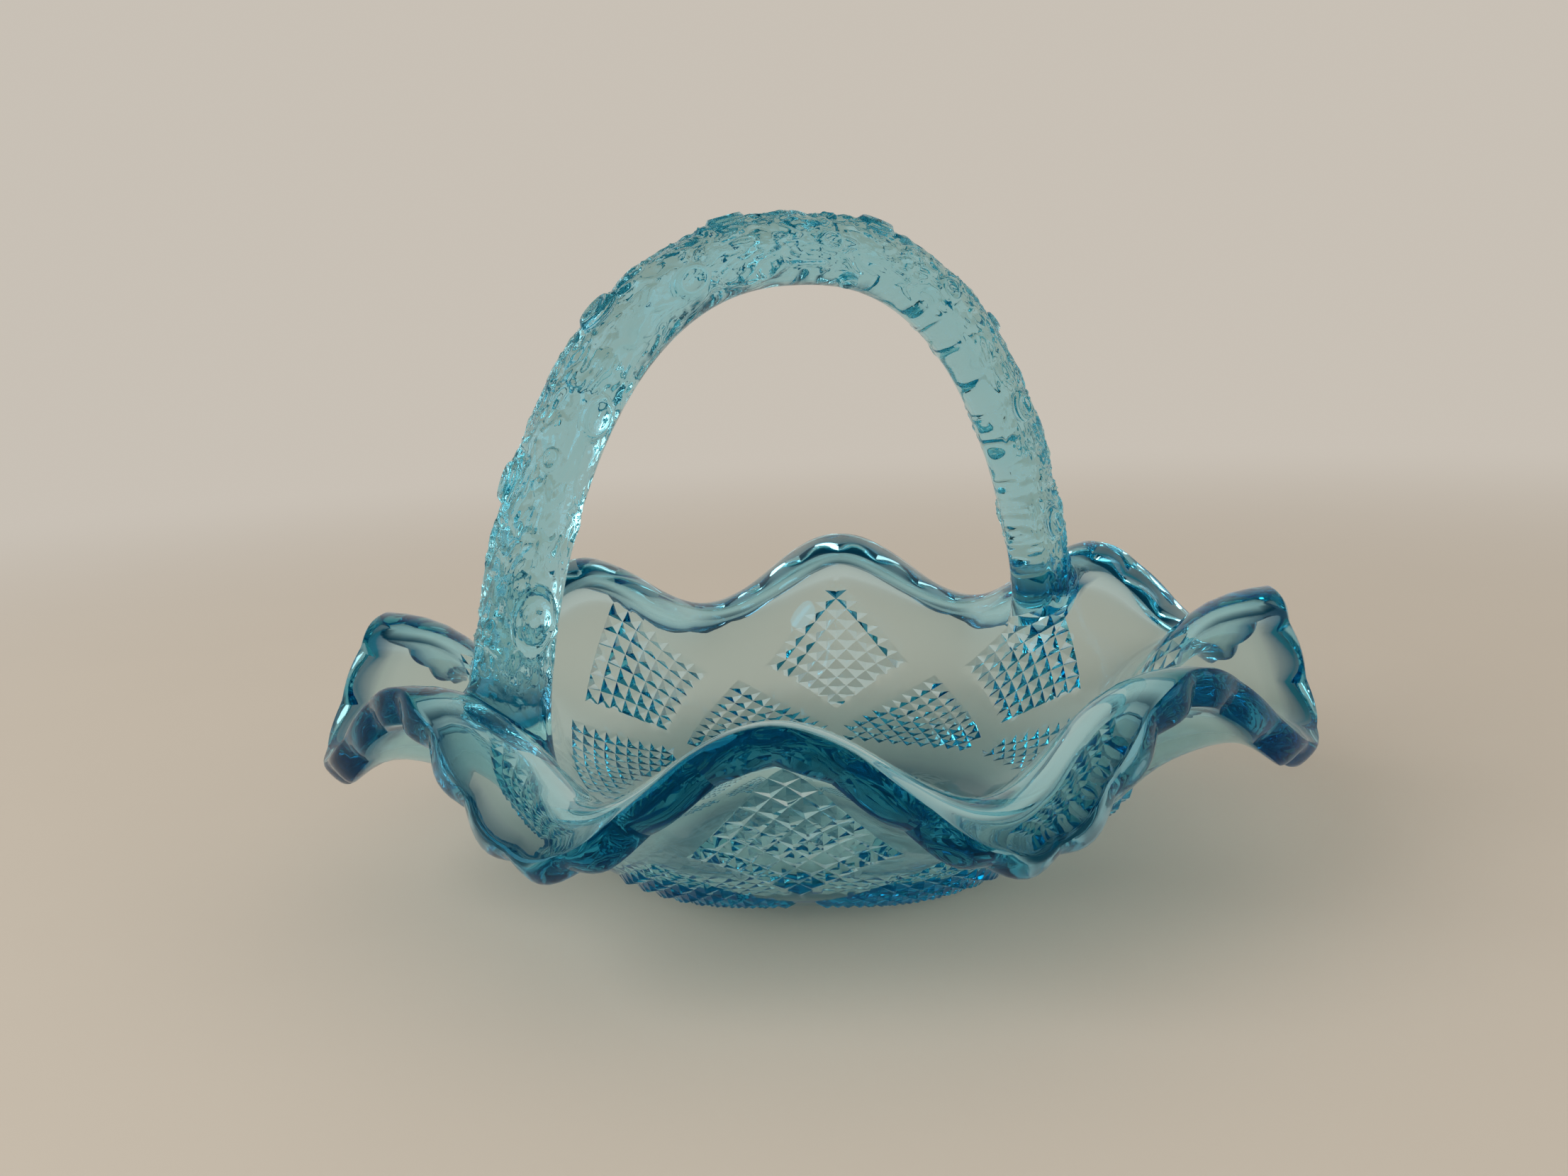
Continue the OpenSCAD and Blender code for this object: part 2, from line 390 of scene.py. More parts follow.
def gridSheet(tree, columns, rows, place, tone=None):
    # a sheet whose points go where place(x, y) says, x and y running from 0 to 1
    grid = addNode(tree, "GeometryNodeMeshGrid", {
        "Size X": 1.0, "Size Y": 1.0, "Vertices X": columns + 1, "Vertices Y": rows + 1})
    x, y, unused = split(out(addNode(tree, "GeometryNodeInputPosition")))
    sheet = out(grid, "Mesh")
    if tone:
        sheet = out(addNode(tree, "GeometryNodeStoreNamedAttribute", {
            "Geometry": sheet, "Name": "tone", "Value": tone(y + 0.5)},
            data_type="FLOAT", domain="POINT"))
    return out(addNode(tree, "GeometryNodeSetPosition", {
        "Geometry": sheet, "Position": place(x + 0.5, y + 0.5)}))


# bowl

bowl = {
    "scallops": 7,  # from one fold to the next
    "notchDepth": 2.5,
    "notchSoftness": 0.005,  # rounds the bottom of a notch
    "innerNotch": 0.25,  # the notches' share at the rim's inner corner
    "edgeRound": 1.5,
    "edgeSquareness": 0.8,  # 1 is a half circle across the rim's edge, and less is squarer
    "shoulderFrom": 0.88,  # how far up the wall the rim's rounding and its deep blue start, a blue that is partly painted shade
    "footFlat": 0.725,  # share of the foot's radius that is flat, before its bevel
    "columns": 448,  # eight to a scallop
    "footRows": 2,
    "outerRows": 24,
    "edgeRows": 9,
    "innerRows": 18,
    "floorRows": 4,
    # how deep the blue is, from 0 to 1, partly thick glass's own colour and partly painted shade:
    # it is 1 on the rim's outer corner
    "footTone": 0.12,
    "lowTone": 0.6,  # where the wall leaves the foot
    "lowToneTo": 0.1,  # how far up it ends
    "innerCornerTone": 0.5,
    "innerRimTone": 0.4,
}


def makeBowlTree():
    tree, given, result = newTree(
        "foldedBowl", {**wallInputs, "Scallops": "number", "Notch depth": "number",
                       "Inner notch": "number", "Edge round": "number", "Material": "material"},
        {"Mesh": "mesh"})
    thickness, at = shapeOfWall(tree, given)
    columns = bowl["columns"]
    fullTurn = 2 * math.pi

    def scallop(x):
        wave = calc("SINE", x * given["Folds"] * given["Scallops"] * math.pi)
        softness = bowl["notchSoftness"]
        return (calc("SQRT", wave * wave + softness) - (1 + softness / 2)) * given["Notch depth"]

    def side(direction):
        def place(x, y):
            up = y if direction > 0 else 1 - y
            fade = smoothStep(up, bowl["shoulderFrom"], 1.0) ** 2.0
            notch = scallop(x) if direction > 0 else scallop(x) * given["Inner notch"]
            past = (notch - given["Edge round"]) * fade
            return out(at(x * fullTurn, up, thickness(up) * (direction / 2), past), "Point")
        return place

    def edge(x, y):
        angle = y * math.pi
        square = bowl["edgeSquareness"]
        notch = scallop(x) * mix(1.0, given["Inner notch"], smoothStep(y, 0.1, 0.9))
        past = notch - given["Edge round"] * (1 - signedPower(calc("SINE", angle), square))
        outward = given["Rim thickness"] * 0.5 * signedPower(calc("COSINE", angle), square)
        return out(at(x * fullTurn, 1.0, outward, past), "Point")

    def foot(x, y):  # flat in the first row, and the second is the bevel
        reach = calc("MINIMUM", y * (bowl["footFlat"] * 2), 1.0)
        px, py, pz = split(out(at(x * fullTurn, 0.0, given["Floor thickness"] * 0.5), "Point"))
        return join(tree, px * reach, py * reach, pz * calc("GREATER_THAN", reach, 0.99))

    def floor(x, y):
        px, py, pz = split(out(at(x * fullTurn, 0.0, given["Floor thickness"] * -0.5), "Point"))
        height = mix(pz, given["Floor thickness"], smoothStep(y, 0.0, 1.0))
        return join(tree, px * (1 - y), py * (1 - y), height)

    # deeper blue at the rim and low on the wall, partly thick glass's colour and partly painted
    # shade
    def toneUp(up, rimTone):
        rim = smoothStep(up, bowl["shoulderFrom"], 1.0) * rimTone
        return rim + (1 - smoothStep(up, 0.0, bowl["lowToneTo"])) * bowl["lowTone"]

    sheets = [gridSheet(tree, columns, rows, place, tone) for rows, place, tone in (
        (bowl["footRows"], foot, lambda y: y * 0 + bowl["footTone"]),
        (bowl["outerRows"], side(1), lambda y: toneUp(y, 1.0)),
        (bowl["edgeRows"], edge, lambda y: 1 - y * (1 - bowl["innerCornerTone"])),
        (bowl["innerRows"], side(-1), lambda y: toneUp(1 - y, bowl["innerRimTone"])),
        (bowl["floorRows"], floor, lambda y: y * 0))]
    finishTree(tree, sheets, given, result, merge=weldReach)
    return tree


bowlPiece = makePiece("glassBasket", makeBowlTree(), {
    **wallValues, "Scallops": float(bowl["scallops"]), "Notch depth": bowl["notchDepth"] * mm,
    "Inner notch": bowl["innerNotch"], "Edge round": bowl["edgeRound"] * mm, "Material": aquaGlass})

# diamond points

diamonds = {
    "perSide": 7,  # points along each side of a lozenge
    "gap": 3,  # half points between two lozenges' corners and the droop's line
    "height": 0.97,  # of a point above the wall
    "tip": 0.07,  # half width of the flat on a point's top, as a share of the point's
    "lift": 0.07,  # how far the grooves' bottoms lie above the wall, as a share of the height
    "sink": 0.4,  # how far a point goes on into the wall below its foot, as a share of its height
    "lowRow": -6,  # rows are half points, counted from the lozenges' lower corners
    "tipUp": 0.296,  # how far up the wall those corners lie
    "rowStep": 0.02676,  # how far up the wall one row is
    "rowGrowth": 0.000405,  # and how this grows from row to row
    "sets": 8,  # so that no two points of one set meet
}


def makeDiamondTree():
    tree, given, result = newTree(
        "diamondPoints", {**wallInputs, "Per side": "number", "Gap": "number", "Height": "number",
                          "Low row": "number", "Tip up": "number", "Row step": "number",
                          "Row growth": "number", "Set": "number", "Material": "material"},
        {"Mesh": "mesh"})
    thickness, at = shapeOfWall(tree, given)
    perSide, low = given["Per side"], given["Low row"]
    half = perSide + given["Gap"]
    columns = given["Folds"] * half * 2
    rows = perSide * 2 - low
    lattice = addNode(tree, "GeometryNodePoints", {"Count": columns * rows})
    index = out(addNode(tree, "GeometryNodeInputIndex"))
    column = calc("FLOORED_MODULO", index, columns)
    row = calc("FLOOR", (index + 0.5) / columns) + low

    # lozenges under the folds, and gabled panels between them
    near = calc("ABSOLUTE", calc("FLOORED_MODULO", column + half, half * 2) - half)
    inLozenge = calc("LESS_THAN", near + calc("ABSOLUTE", row - perSide), perSide - 0.5)
    inPanel = (calc("LESS_THAN", half - near, perSide - row - 1.5)
               * calc("GREATER_THAN", near, 1.5) * calc("GREATER_THAN", row, low + 0.5))
    isMiddle = calc("FLOORED_MODULO", column + row, 2.0)
    rowSet = calc("FLOORED_MODULO", row, 4.0)
    columnSet = calc("FLOOR", calc("FLOORED_MODULO", column, 4.0) / 2)
    ownSet = rowSet + columnSet * (diamonds["sets"] / 2)
    inSet = calc("COMPARE", ownSet, given["Set"], 0.5)
    keep = calc("MAXIMUM", inLozenge, inPanel) * isMiddle * inSet
    points = out(lattice)
    for name, value in (("column", column), ("row", row), ("keep", keep)):
        points = out(addNode(tree, "GeometryNodeStoreNamedAttribute", {
            "Geometry": points, "Name": name, "Value": value}, data_type="FLOAT", domain="POINT"))

    def stored(name):
        return out(addNode(tree, "GeometryNodeInputNamedAttribute", {"Name": name},
                           data_type="FLOAT"))

    points = out(addNode(tree, "GeometryNodeDeleteGeometry", {
        "Geometry": points, "Selection": 1 - stored("keep")}, domain="POINT"))

    # one four-sided point, let into the wall a little
    sink, lift = diamonds["sink"], diamonds["lift"]
    shape = addNode(tree, "GeometryNodeMeshCone", {
        "Vertices": 4, "Radius Top": diamonds["tip"], "Radius Bottom": 1 + sink,
        "Depth": 1 - lift + sink})
    shape = addNode(tree, "GeometryNodeTransform", {
        "Geometry": out(shape), "Translation": (0, 0, lift - sink)})

    def corner(columnStep, rowStep):
        c, r = stored("column") + columnStep, stored("row") + rowStep
        up = given["Tip up"] + given["Row step"] * r + given["Row growth"] * r * r
        return at(c / columns * (2 * math.pi), up, thickness(up) * 0.5)

    east, west, north, south = [
        out(corner(*step), "Point") for step in ((1, 0), (-1, 0), (0, 1), (0, -1))]
    placed = placeInstances(tree, points, out(shape), [
        (east - west) * 0.5, (north - south) * 0.5, out(corner(0, 0), "Normal") * given["Height"],
        (east + west + north + south) * 0.25])
    finishTree(tree, [placed], given, result)
    return tree


diamondTree = makeDiamondTree()
diamondPieces = [makePiece("diamondPoints%d" % part, diamondTree, {
    **wallValues, "Per side": float(diamonds["perSide"]), "Gap": float(diamonds["gap"]),
    "Height": diamonds["height"] * mm, "Low row": float(diamonds["lowRow"]),
    "Tip up": diamonds["tipUp"], "Row step": diamonds["rowStep"],
    "Row growth": diamonds["rowGrowth"], "Set": float(part), "Material": aquaGlass})
    for part in range(diamonds["sets"])]

# handle

handle = {
    "halfSpan": 79.0,
    "springHeight": 5.0,
    "topHeight": 130.5,
    "squareness": 2.32,  # 2 is an ellipse, and more is squarer
    "legHeight": 40.6,  # where the legs meet the middle of the wall
    "thickness": 14.6,
    "footFlare": 3.2,
    "flareFade": 260.0,  # how fast the flare ends, per metre
    "footSlant": 8.8,  # the feet are cut on a slant, so that they lie flat on the rising wall
    "slantFade": 70.0,
    "steps": 600,  # of the arch's own line
    "sides": 100,
    "rings": 460,
    # bark: two sets of strands that wind and cross, with thin veins and pits between them
    "ridgeHeight": 0.5,
    "strands": [(4, 180.0, 9.0), (-3, 150.0, -7.0)],  # times round, radians per metre, sway
    "strandShare": 0.85,  # of the ridge height
    "strandWidth": 0.45,
    "veinShare": 1.15,
    "veinWidth": 0.07,
    "flowScale": 185.0,  # of the noise that the veins follow and the strands sway with
    "flowStretch": 0.3,  # less than 1 draws it out along the handle
    "pitDepth": 0.22,
    "pitScale": 760.0,
    "pitStretch": 0.55,
    "lowCoarseness": 2.6,  # how much deeper the pits are low on the legs
    "coarseFade": (0.08, 0.24),  # shares of the handle's length from its end
    "footFade": (2.0, 11.0),  # from the smooth end of a leg to full bark
    "innerFade": (0.45, 0.75),  # from full bark to the smooth inner side
    "innerWave": (260.0, 0.12),  # radians per metre and height of the line between them
    # tone and shading
    "tone": 0.06,  # the legs' ends are a deeper blue, up to 1, partly the thick feet's colour and partly painted shade
    "toneFrom": 5.0,  # above the legs' start
    "toneFade": 8.0,
    "barkFade": 5.0,  # width of the change from the inner side to the bark's fine pits
    "skinFrom": 45.0,  # above this height the bark and the handle's tone start
    "softFrom": 46.0,  # above this height, and no wider than softWidth, no edge is sharp
    "softWidth": 11.5,
}
knots = {
    "size": (3.3, 5.2, 1.5),  # half width round the handle, half length along it, height
    "ringAt": 0.66,  # how far out the raised ring lies
    "ringSharpness": 22.0,
    "middleLift": 0.25,  # height of the hollow's bottom, as a share
    # share of the way from the -X leg, direction round the handle in degrees, size
    "places": [(0.09, -80, 1.35), (0.18, 14, 0.95), (0.24, -88, 1.0), (0.2, -50, 0.55),
               (0.31, 2, 1.05), (0.37, -78, 1.0), (0.435, 5, 1.05), (0.51, -80, 0.8),
               (0.54, -145, 0.6), (0.57, -25, 1.1), (0.65, -84, 0.85), (0.72, -20, 0.7),
               (0.79, -90, 0.9), (0.91, -92, 0.9), (0.28, 120, 1.0), (0.46, 110, 0.9),
               (0.68, 100, 1.0), (0.84, 60, 0.9), (0.14, 150, 0.8)],
}


def makeHandleTree():
    tree, given, result = newTree(
        "barkHandle", {"Half span": "number", "Spring height": "number", "Rise": "number",
                       "Squareness": "number", "Start": "number", "Thickness": "number",
                       "Foot flare": "number", "Foot slant": "number", "Ridge height": "number",
                       "Pit depth": "number", "Material": "material",
                       "Knots": "object", "Knot size": "vector", "Only knots": "number"},
        {"Mesh": "mesh"})
    # the arch as a curve
    steps = handle["steps"]
    line = addNode(tree, "GeometryNodeMeshLine", {"Count": steps + 1})
    index = out(addNode(tree, "GeometryNodeInputIndex"))
    u = given["Start"] + (math.pi - given["Start"] * 2) * (index / steps)
    power = 2 / given["Squareness"]
    arch = join(tree, -(given["Half span"] * signedPower(calc("COSINE", u), power)), 0.0,
                given["Spring height"] + given["Rise"] * signedPower(calc("SINE", u), power))
    line = addNode(tree, "GeometryNodeSetPosition", {"Geometry": out(line), "Position": arch})
    curve = out(addNode(tree, "GeometryNodeMeshToCurve", {0: out(line)}))
    length = out(addNode(tree, "GeometryNodeCurveLength", {0: curve}))

    def frameAt(share, angle):
        # middle of the handle, direction along it, and directions out of and round it
        sample = addNode(tree, "GeometryNodeSampleCurve", {"Curves": curve, "Factor": share},
                         mode="FACTOR")
        middle, along = out(sample, "Position"), out(sample, "Tangent")
        x, unused, z = split(along)
        outOfArch = join(tree, -z, 0.0, x)
        outward = outOfArch * calc("COSINE", angle) + join(tree, 0.0, calc("SINE", angle), 0.0)
        around = join(tree, 0.0, calc("COSINE", angle), 0.0) - outOfArch * calc("SINE", angle)
        return middle, along, outward, around

    def endShare(share):
        return calc("MINIMUM", share, 1 - share)

    def radiusAt(share):
        flare = calc("EXPONENT", endShare(share) * length * -handle["flareFade"])
        return given["Thickness"] * 0.5 + given["Foot flare"] * flare

    def barkAt(share, angle):
        # how far the bark stands out from the round handle
        way = share * length
        radius = handle["thickness"] / 2 * mm
        around = [calc("COSINE", angle) * radius, calc("SINE", angle) * radius]
        flow = out(addNode(tree, "ShaderNodeTexNoise", {
            "Vector": join(tree, *around, way * handle["flowStretch"]),
            "Scale": handle["flowScale"], "Detail": 1.0, "Roughness": 0.4,
            "Distortion": 0.9}), "Fac")
        veins = 1 - smoothStep(calc("ABSOLUTE", flow - 0.5), 0.0, handle["veinWidth"])
        strands = 0
        for timesRound, wind, sway in handle["strands"]:
            line = calc("ABSOLUTE", calc("SINE", angle * timesRound + way * wind + flow * sway))
            strands = calc("MAXIMUM", 1 - smoothStep(line, 0.0, handle["strandWidth"]), strands)
        pits = out(addNode(tree, "ShaderNodeTexNoise", {
            "Vector": join(tree, *around, way * handle["pitStretch"]),
            "Scale": handle["pitScale"], "Detail": 1.0}), "Fac")
        low = handle["lowCoarseness"]
        coarse = low - smoothStep(endShare(share), *handle["coarseFade"]) * (low - 1)
        relief = (veins * given["Ridge height"] * handle["veinShare"]
                  + strands * given["Ridge height"] * handle["strandShare"]
                  - smoothStep(pits, 0.5, 0.7) * given["Pit depth"] * coarse)
        # the inner side is smooth up to a wavy line, and so are the ends of the legs
        waveRate, waveHeight = handle["innerWave"]
        inner = -calc("COSINE", angle) + calc("SINE", way * waveRate) * waveHeight
        smoothFoot = smoothStep(endShare(share) * length, *[f * mm for f in handle["footFade"]])
        return relief * (1 - smoothStep(inner, *handle["innerFade"])) * smoothFoot

    rings = handle["rings"]

    def sweep(x, y):
        # the first and the last row close the ends in one point each
        angle = x * (-2 * math.pi)
        share = (y - 1 / rings) / (1 - 2 / rings)
        share = calc("MINIMUM", calc("MAXIMUM", share, 0.0), 1.0)
        notEnd = calc("GREATER_THAN", y, 0.5 / rings) * calc("LESS_THAN", y, 1 - 0.5 / rings)
        middle, along, outward, around = frameAt(share, angle)
        fade = calc("EXPONENT", endShare(share) * length * -handle["slantFade"])
        slant = fade * calc("SIGN", 0.5 - share) * calc("COSINE", angle)
        return (middle + outward * ((radiusAt(share) + barkAt(share, angle)) * notEnd)
                + along * (slant * given["Foot slant"] * notEnd))

    tube = gridSheet(tree, handle["sides"], rings, sweep)
    tube = out(addNode(tree, "GeometryNodeMergeByDistance", {
        "Geometry": tube, "Distance": weldReach}))

    # knots: low ovals with a raised ring and a hollow in the middle
    ball = addNode(tree, "GeometryNodeMeshUVSphere", {"Segments": 28, "Rings": 12, "Radius": 1.0})
    x, y, z = split(out(addNode(tree, "GeometryNodeInputPosition")))
    middle = calc("SQRT", x * x + y * y)
    fromRing = middle - knots["ringAt"]
    ring = calc("EXPONENT", fromRing * fromRing * -knots["ringSharpness"])
    top = calc("GREATER_THAN", z, 0.01)
    middleLift = knots["middleLift"]
    lift = (ring * (1 - middleLift) + middleLift) * (1 - smoothStep(middle, 0.75, 1.0)) * top
    knotShape = addNode(tree, "GeometryNodeSetPosition", {
        "Geometry": out(ball), "Position": join(tree, x, y, lift + z * (1 - top))})
    places = out(addNode(tree, "GeometryNodeObjectInfo", {"Object": given["Knots"]}), "Geometry")
    places = out(addNode(tree, "GeometryNodeMeshToPoints", {0: places}))
    values = out(addNode(tree, "GeometryNodeInputPosition"))
    places = out(addNode(tree, "GeometryNodeStoreNamedAttribute", {
        "Geometry": places, "Name": "knot", "Value": values},
        data_type="FLOAT_VECTOR", domain="POINT"))
    stored = out(addNode(tree, "GeometryNodeInputNamedAttribute", {"Name": "knot"},
                         data_type="FLOAT_VECTOR"))
    share, direction, size = split(stored)
    middle, along, outward, around = frameAt(share, direction * (math.pi / 180))
    width, reach, height = split(given["Knot size"])
    placed = placeInstances(tree, places, out(knotShape), [
        around * (width * size * -1), along * (reach * size), outward * height,
        middle + outward * (given["Thickness"] * 0.5)])
    chosen = addNode(tree, "GeometryNodeSwitch", {
        "Switch": given["Only knots"], "False": tube, "True": placed}, input_type="GEOMETRY")
    finishTree(tree, [out(chosen)], given, result)
    return tree


rise = handle["topHeight"] - handle["springHeight"]
startHeight = (handle["legHeight"] - handle["springHeight"]) / rise
legStart = math.asin(startHeight ** (handle["squareness"] / 2))
knotPlaces = pointsObject("knotPlaces", knots["places"])
handleTree = makeHandleTree()
handlePieces = [makePiece("handlePart%d" % part, handleTree, {
    "Half span": handle["halfSpan"] * mm, "Spring height": handle["springHeight"] * mm,
    "Rise": rise * mm, "Squareness": handle["squareness"], "Start": legStart,
    "Thickness": handle["thickness"] * mm, "Foot flare": handle["footFlare"] * mm,
    "Foot slant": handle["footSlant"] * mm, "Ridge height": handle["ridgeHeight"] * mm,
    "Pit depth": handle["pitDepth"] * mm, "Material": aquaGlass, "Knots": knotPlaces,
    "Knot size": [s * mm for s in knots["size"]], "Only knots": float(part)}) for part in (0, 1)]

# fuse all of the glass into one closed skin


def fuse(piece, others):
    parts = bpy.data.collections.new("partsToFuse")
    for other in others:
        parts.objects.link(other)
    modifier = piece.modifiers.new("fuse", "BOOLEAN")
    modifier.operation = "UNION"
    modifier.solver = "MANIFOLD"
    modifier.operand_type = "COLLECTION"
    modifier.collection = parts
    keepResult(piece)
    for other in others:
        bpy.data.objects.remove(other)
    bpy.data.collections.remove(parts)
    print("fused:", len(piece.data.polygons), "faces")


def toneFinder(mesh):
    # each point of the fused glass takes its tone from the nearest point of the bowl
    tree = KDTree(len(mesh.vertices))
    for vertex in mesh.vertices:
        tree.insert(vertex.co, vertex.index)
    tree.balance()
    tones = [value.value for value in mesh.attributes["tone"].data]
    return lambda point: tones[tree.find(point)[1]]


wallTone = toneFinder(bowlPiece.data)
fuse(bowlPiece, diamondPieces + handlePieces)
for helper in (foldLine, droopLine, knotPlaces):
    bpy.data.objects.remove(helper)


def barkAndTone(point):
    # bark is 1 on the handle's bark, 0 on its smooth inner side and on the bowl
    x, y, z = point / mm
    if z > handle["skinFrom"]:
        px, pz = abs(x) / handle["halfSpan"], (z - handle["springHeight"]) / rise
        n = handle["squareness"]
        slope = math.hypot(n * px ** (n - 1) / handle["halfSpan"], n * pz ** (n - 1) / rise)
        outside = (px ** n + pz ** n - 1) / slope  # how far out from the arch's own line
        if math.hypot(outside, y) < handle["thickness"] / 2 + handle["footFlare"]:
            # the deeper blue low on the legs is partly the thick feet's colour and partly painted
            # shade
            above = z - handle["legHeight"] - handle["toneFrom"]
            low = max(0.0, 1 - above / handle["toneFade"])
            onBark = min(1.0, max(0.0, 0.75 + outside / handle["barkFade"]))
            return onBark, min(1.0, handle["tone"] + low)
    return 0.0, wallTone(point)


def markGlass(mesh):
    marks = [barkAndTone(vertex.co) for vertex in mesh.vertices]
    for i, name in enumerate(("bark", "tone")):
        if name in mesh.attributes:
            mesh.attributes.remove(mesh.attributes[name])
        mesh.attributes.new(name, "FLOAT", "POINT").data.foreach_set("value", [m[i] for m in marks])


def softenHandle(mesh):
    # the bark has no hard edges, unlike the diamond points
    sharp = mesh.attributes["sharp_edge"].data
    for edge in mesh.edges:
        if sharp[edge.index].value:
            a, b = [mesh.vertices[i].co / mm for i in edge.vertices]
            if min(a.z, b.z) > handle["softFrom"] and max(abs(a.y), abs(b.y)) < handle["softWidth"]:
                sharp[edge.index].value = False


sharpAngle = 24  # degrees between two faces that meet in a sharp edge
bowlPiece.data.validate()
markGlass(bowlPiece.data)
bowlPiece.data.shade_smooth()
bowlPiece.data.set_sharp_from_angle(angle=math.radians(sharpAngle))
softenHandle(bowlPiece.data)
triangles = sum(len(p.vertices) - 2 for p in bowlPiece.data.polygons)
print("glassBasket has", triangles, "triangles")

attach(bowlPiece, "root")
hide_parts("basket")

# floor, room and lamps

studio = {
    "floorColour": (0.55, 0.505, 0.445),
    "floorRadius": 9.0,
    "floorCorners": 64,
    "floorHeight": -0.0003,  # just under the foot, because faces in one plane render black
    "floorRoughness": 0.7,
    "grainScale": 14.0,
    "grainShade": 0.97,
    "backColour": (0.58, 0.53, 0.465),
    "backFrom": (0.22, 0.9),  # the floor turns into the backdrop between these distances
    "overheadColour": (0.006, 0.045, 0.065),  # the dim room above, which deep glass shows
    "overheadFrom": (0.35, 0.8),  # heights in the sky, 1 being straight up
    "fill": 1.15,
    "bounces": 32,  # thick glass needs long paths
    "glassBounces": 24,
    "lamps": [  # name, place, size, power, colour
        ("windowLamp", (-1.25, 0.1, 0.85), (1.5, 1.3), 15.0, (1.0, 0.985, 0.96)),
        ("frontLamp", (0.7, -1.3, 0.6), (1.0, 1.0), 3.0, (1.0, 1.0, 1.0)),
    ],
    "lampsAimAt": (0.0, 0.0, 0.05),
}


def seenDirectly(tree):  # 1 for what the camera sees, also in gloss and through glass
    path = addNode(tree, "ShaderNodeLightPath")
    seen = calc("MAXIMUM", calc("MAXIMUM", out(path, "Is Camera Ray"), out(path, "Is Glossy Ray")),
                out(path, "Is Transmission Ray"))
    return seen * calc("LESS_THAN", out(path, "Diffuse Depth"), 0.5)


def makeFloor():
    mesh = bpy.data.meshes.new("floor")
    count, radius = studio["floorCorners"], studio["floorRadius"]
    ring = [(radius * math.cos(2 * math.pi * i / count), radius * math.sin(2 * math.pi * i / count),
             studio["floorHeight"]) for i in range(count)]
    mesh.from_pydata(ring, [], [list(range(len(ring)))])
    floor = bpy.data.objects.new("floor", mesh)
    bpy.context.scene.collection.objects.link(floor)
    material = bpy.data.materials.new("paleFloor")
    material.use_nodes = True
    tree = material.node_tree
    surface = tree.nodes["Principled BSDF"]
    place = out(addNode(tree, "ShaderNodeTexCoord"), "Object")
    grain = out(addNode(tree, "ShaderNodeTexNoise", {
        "Vector": place, "Scale": studio["grainScale"], "Detail": 5.0}), "Fac")
    shaded = [c * studio["grainShade"] for c in studio["floorColour"]]
    tone = addNode(tree, "ShaderNodeMix", {
        0: grain, 6: (*studio["floorColour"], 1.0), 7: (*shaded, 1.0)}, data_type="RGBA")
    feed(out(tone, 2), surface.inputs["Base Color"])
    feed(studio["floorRoughness"], surface.inputs["Roughness"])
    # far off the floor turns into the backdrop, so that no horizon shows
    far = smoothStep(calc("LENGTH", place), *studio["backFrom"]) * seenDirectly(tree)
    backdrop = addNode(tree, "ShaderNodeEmission", {
        "Color": (*studio["backColour"], 1.0), "Strength": 1.0})
    both = addNode(tree, "ShaderNodeMixShader", {0: far, 1: out(surface), 2: out(backdrop)})
    feed(out(both), tree.nodes["Material Output"].inputs["Surface"])
    floor.data.materials.append(material)
    return floor


def makeWorld():
    # a plain room that lights what is matt, and the backdrop that the camera and glass see
    world = bpy.data.worlds.new("paleRoom")
    bpy.context.scene.world = world
    world.use_nodes = True
    tree = world.node_tree
    tree.nodes.clear()
    room = addNode(tree, "ShaderNodeBackground", {
        "Color": (*studio["backColour"], 1.0), "Strength": studio["fill"]})
    height = split(out(addNode(tree, "ShaderNodeTexCoord"), "Generated"))[2]
    shade = addNode(tree, "ShaderNodeMix", {
        0: smoothStep(height, *studio["overheadFrom"]), 6: (*studio["backColour"], 1.0),
        7: (*studio["overheadColour"], 1.0)}, data_type="RGBA")
    back = addNode(tree, "ShaderNodeBackground", {"Color": out(shade, 2), "Strength": 1.0})
    both = addNode(tree, "ShaderNodeMixShader", {0: seenDirectly(tree), 1: out(room), 2: out(back)})
    addNode(tree, "ShaderNodeOutputWorld", {"Surface": out(both)})


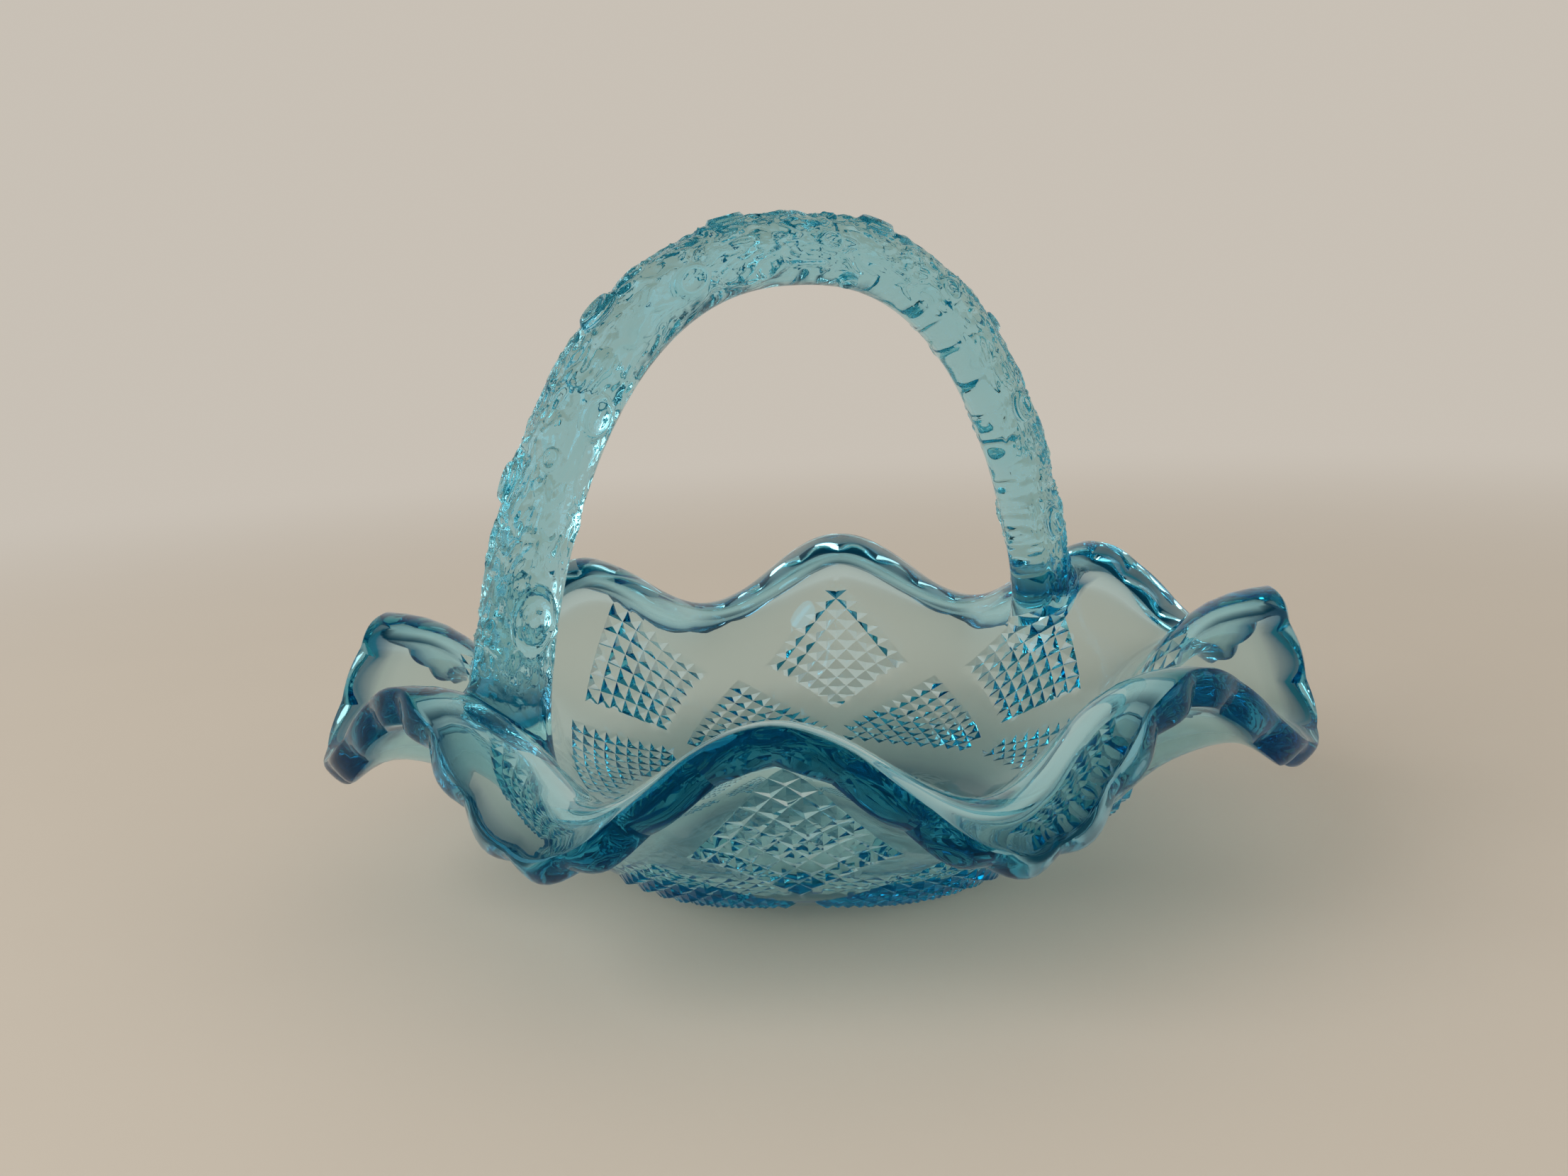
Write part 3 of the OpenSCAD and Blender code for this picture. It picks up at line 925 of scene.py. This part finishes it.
def makeLamps():
    for name, place, size, power, colour in studio["lamps"]:
        light = bpy.data.lights.new(name, "AREA")
        light.shape = "ELLIPSE"
        light.size, light.size_y = size
        light.energy = power
        light.color = colour
        lamp = bpy.data.objects.new(name, light)
        lamp.location = place
        aim = Vector(studio["lampsAimAt"]) - Vector(place)
        lamp.rotation_euler = aim.to_track_quat("-Z", "Y").to_euler()
        bpy.context.scene.collection.objects.link(lamp)


# camera, at the photograph's viewing angle

view = {
    "target": (0.0, 0.0, 0.045),
    "distance": 0.32387,
    "azimuth": -40.51,
    "elevation": 12.91,
    "yaw": math.degrees(math.atan(0.02)),  # the camera looks a little past the target
    "pitch": math.degrees(math.atan(0.04)),
    "roll": -2.82,
    "lens": 33.5,
}


def makeCamera():
    a, e = math.radians(view["azimuth"]), math.radians(view["elevation"])
    back = Vector((math.sin(a) * math.cos(e), -math.cos(a) * math.cos(e), math.sin(e)))
    forward = -back
    right = forward.cross(Vector((0, 0, 1))).normalized()
    up = right.cross(forward)
    forward = Matrix.Rotation(math.radians(view["yaw"]), 3, up) @ forward
    forward = Matrix.Rotation(math.radians(view["pitch"]), 3, right) @ forward
    right = forward.cross(Vector((0, 0, 1))).normalized()
    up = right.cross(forward)
    c, s = math.cos(math.radians(view["roll"])), math.sin(math.radians(view["roll"]))
    right, up = right * c + up * s, up * c - right * s
    data = bpy.data.cameras.new("photoCamera")
    data.lens = view["lens"]
    data.sensor_width = 36.0
    data.clip_start = 0.02
    camera = bpy.data.objects.new("photoCamera", data)
    bpy.context.scene.collection.objects.link(camera)
    turned = Matrix((right, up, -forward)).transposed().to_4x4()
    place = Vector(view["target"]) + back * view["distance"]
    camera.matrix_world = Matrix.Translation(place) @ turned
    bpy.context.scene.camera = camera


floor = makeFloor()
makeWorld()
makeLamps()
makeCamera()
scene = bpy.context.scene
scene.view_settings.view_transform = "Standard"
scene.cycles.max_bounces = studio["bounces"]
scene.cycles.glossy_bounces = studio["glassBounces"]
scene.cycles.transmission_bounces = studio["glassBounces"]
print("stage set")
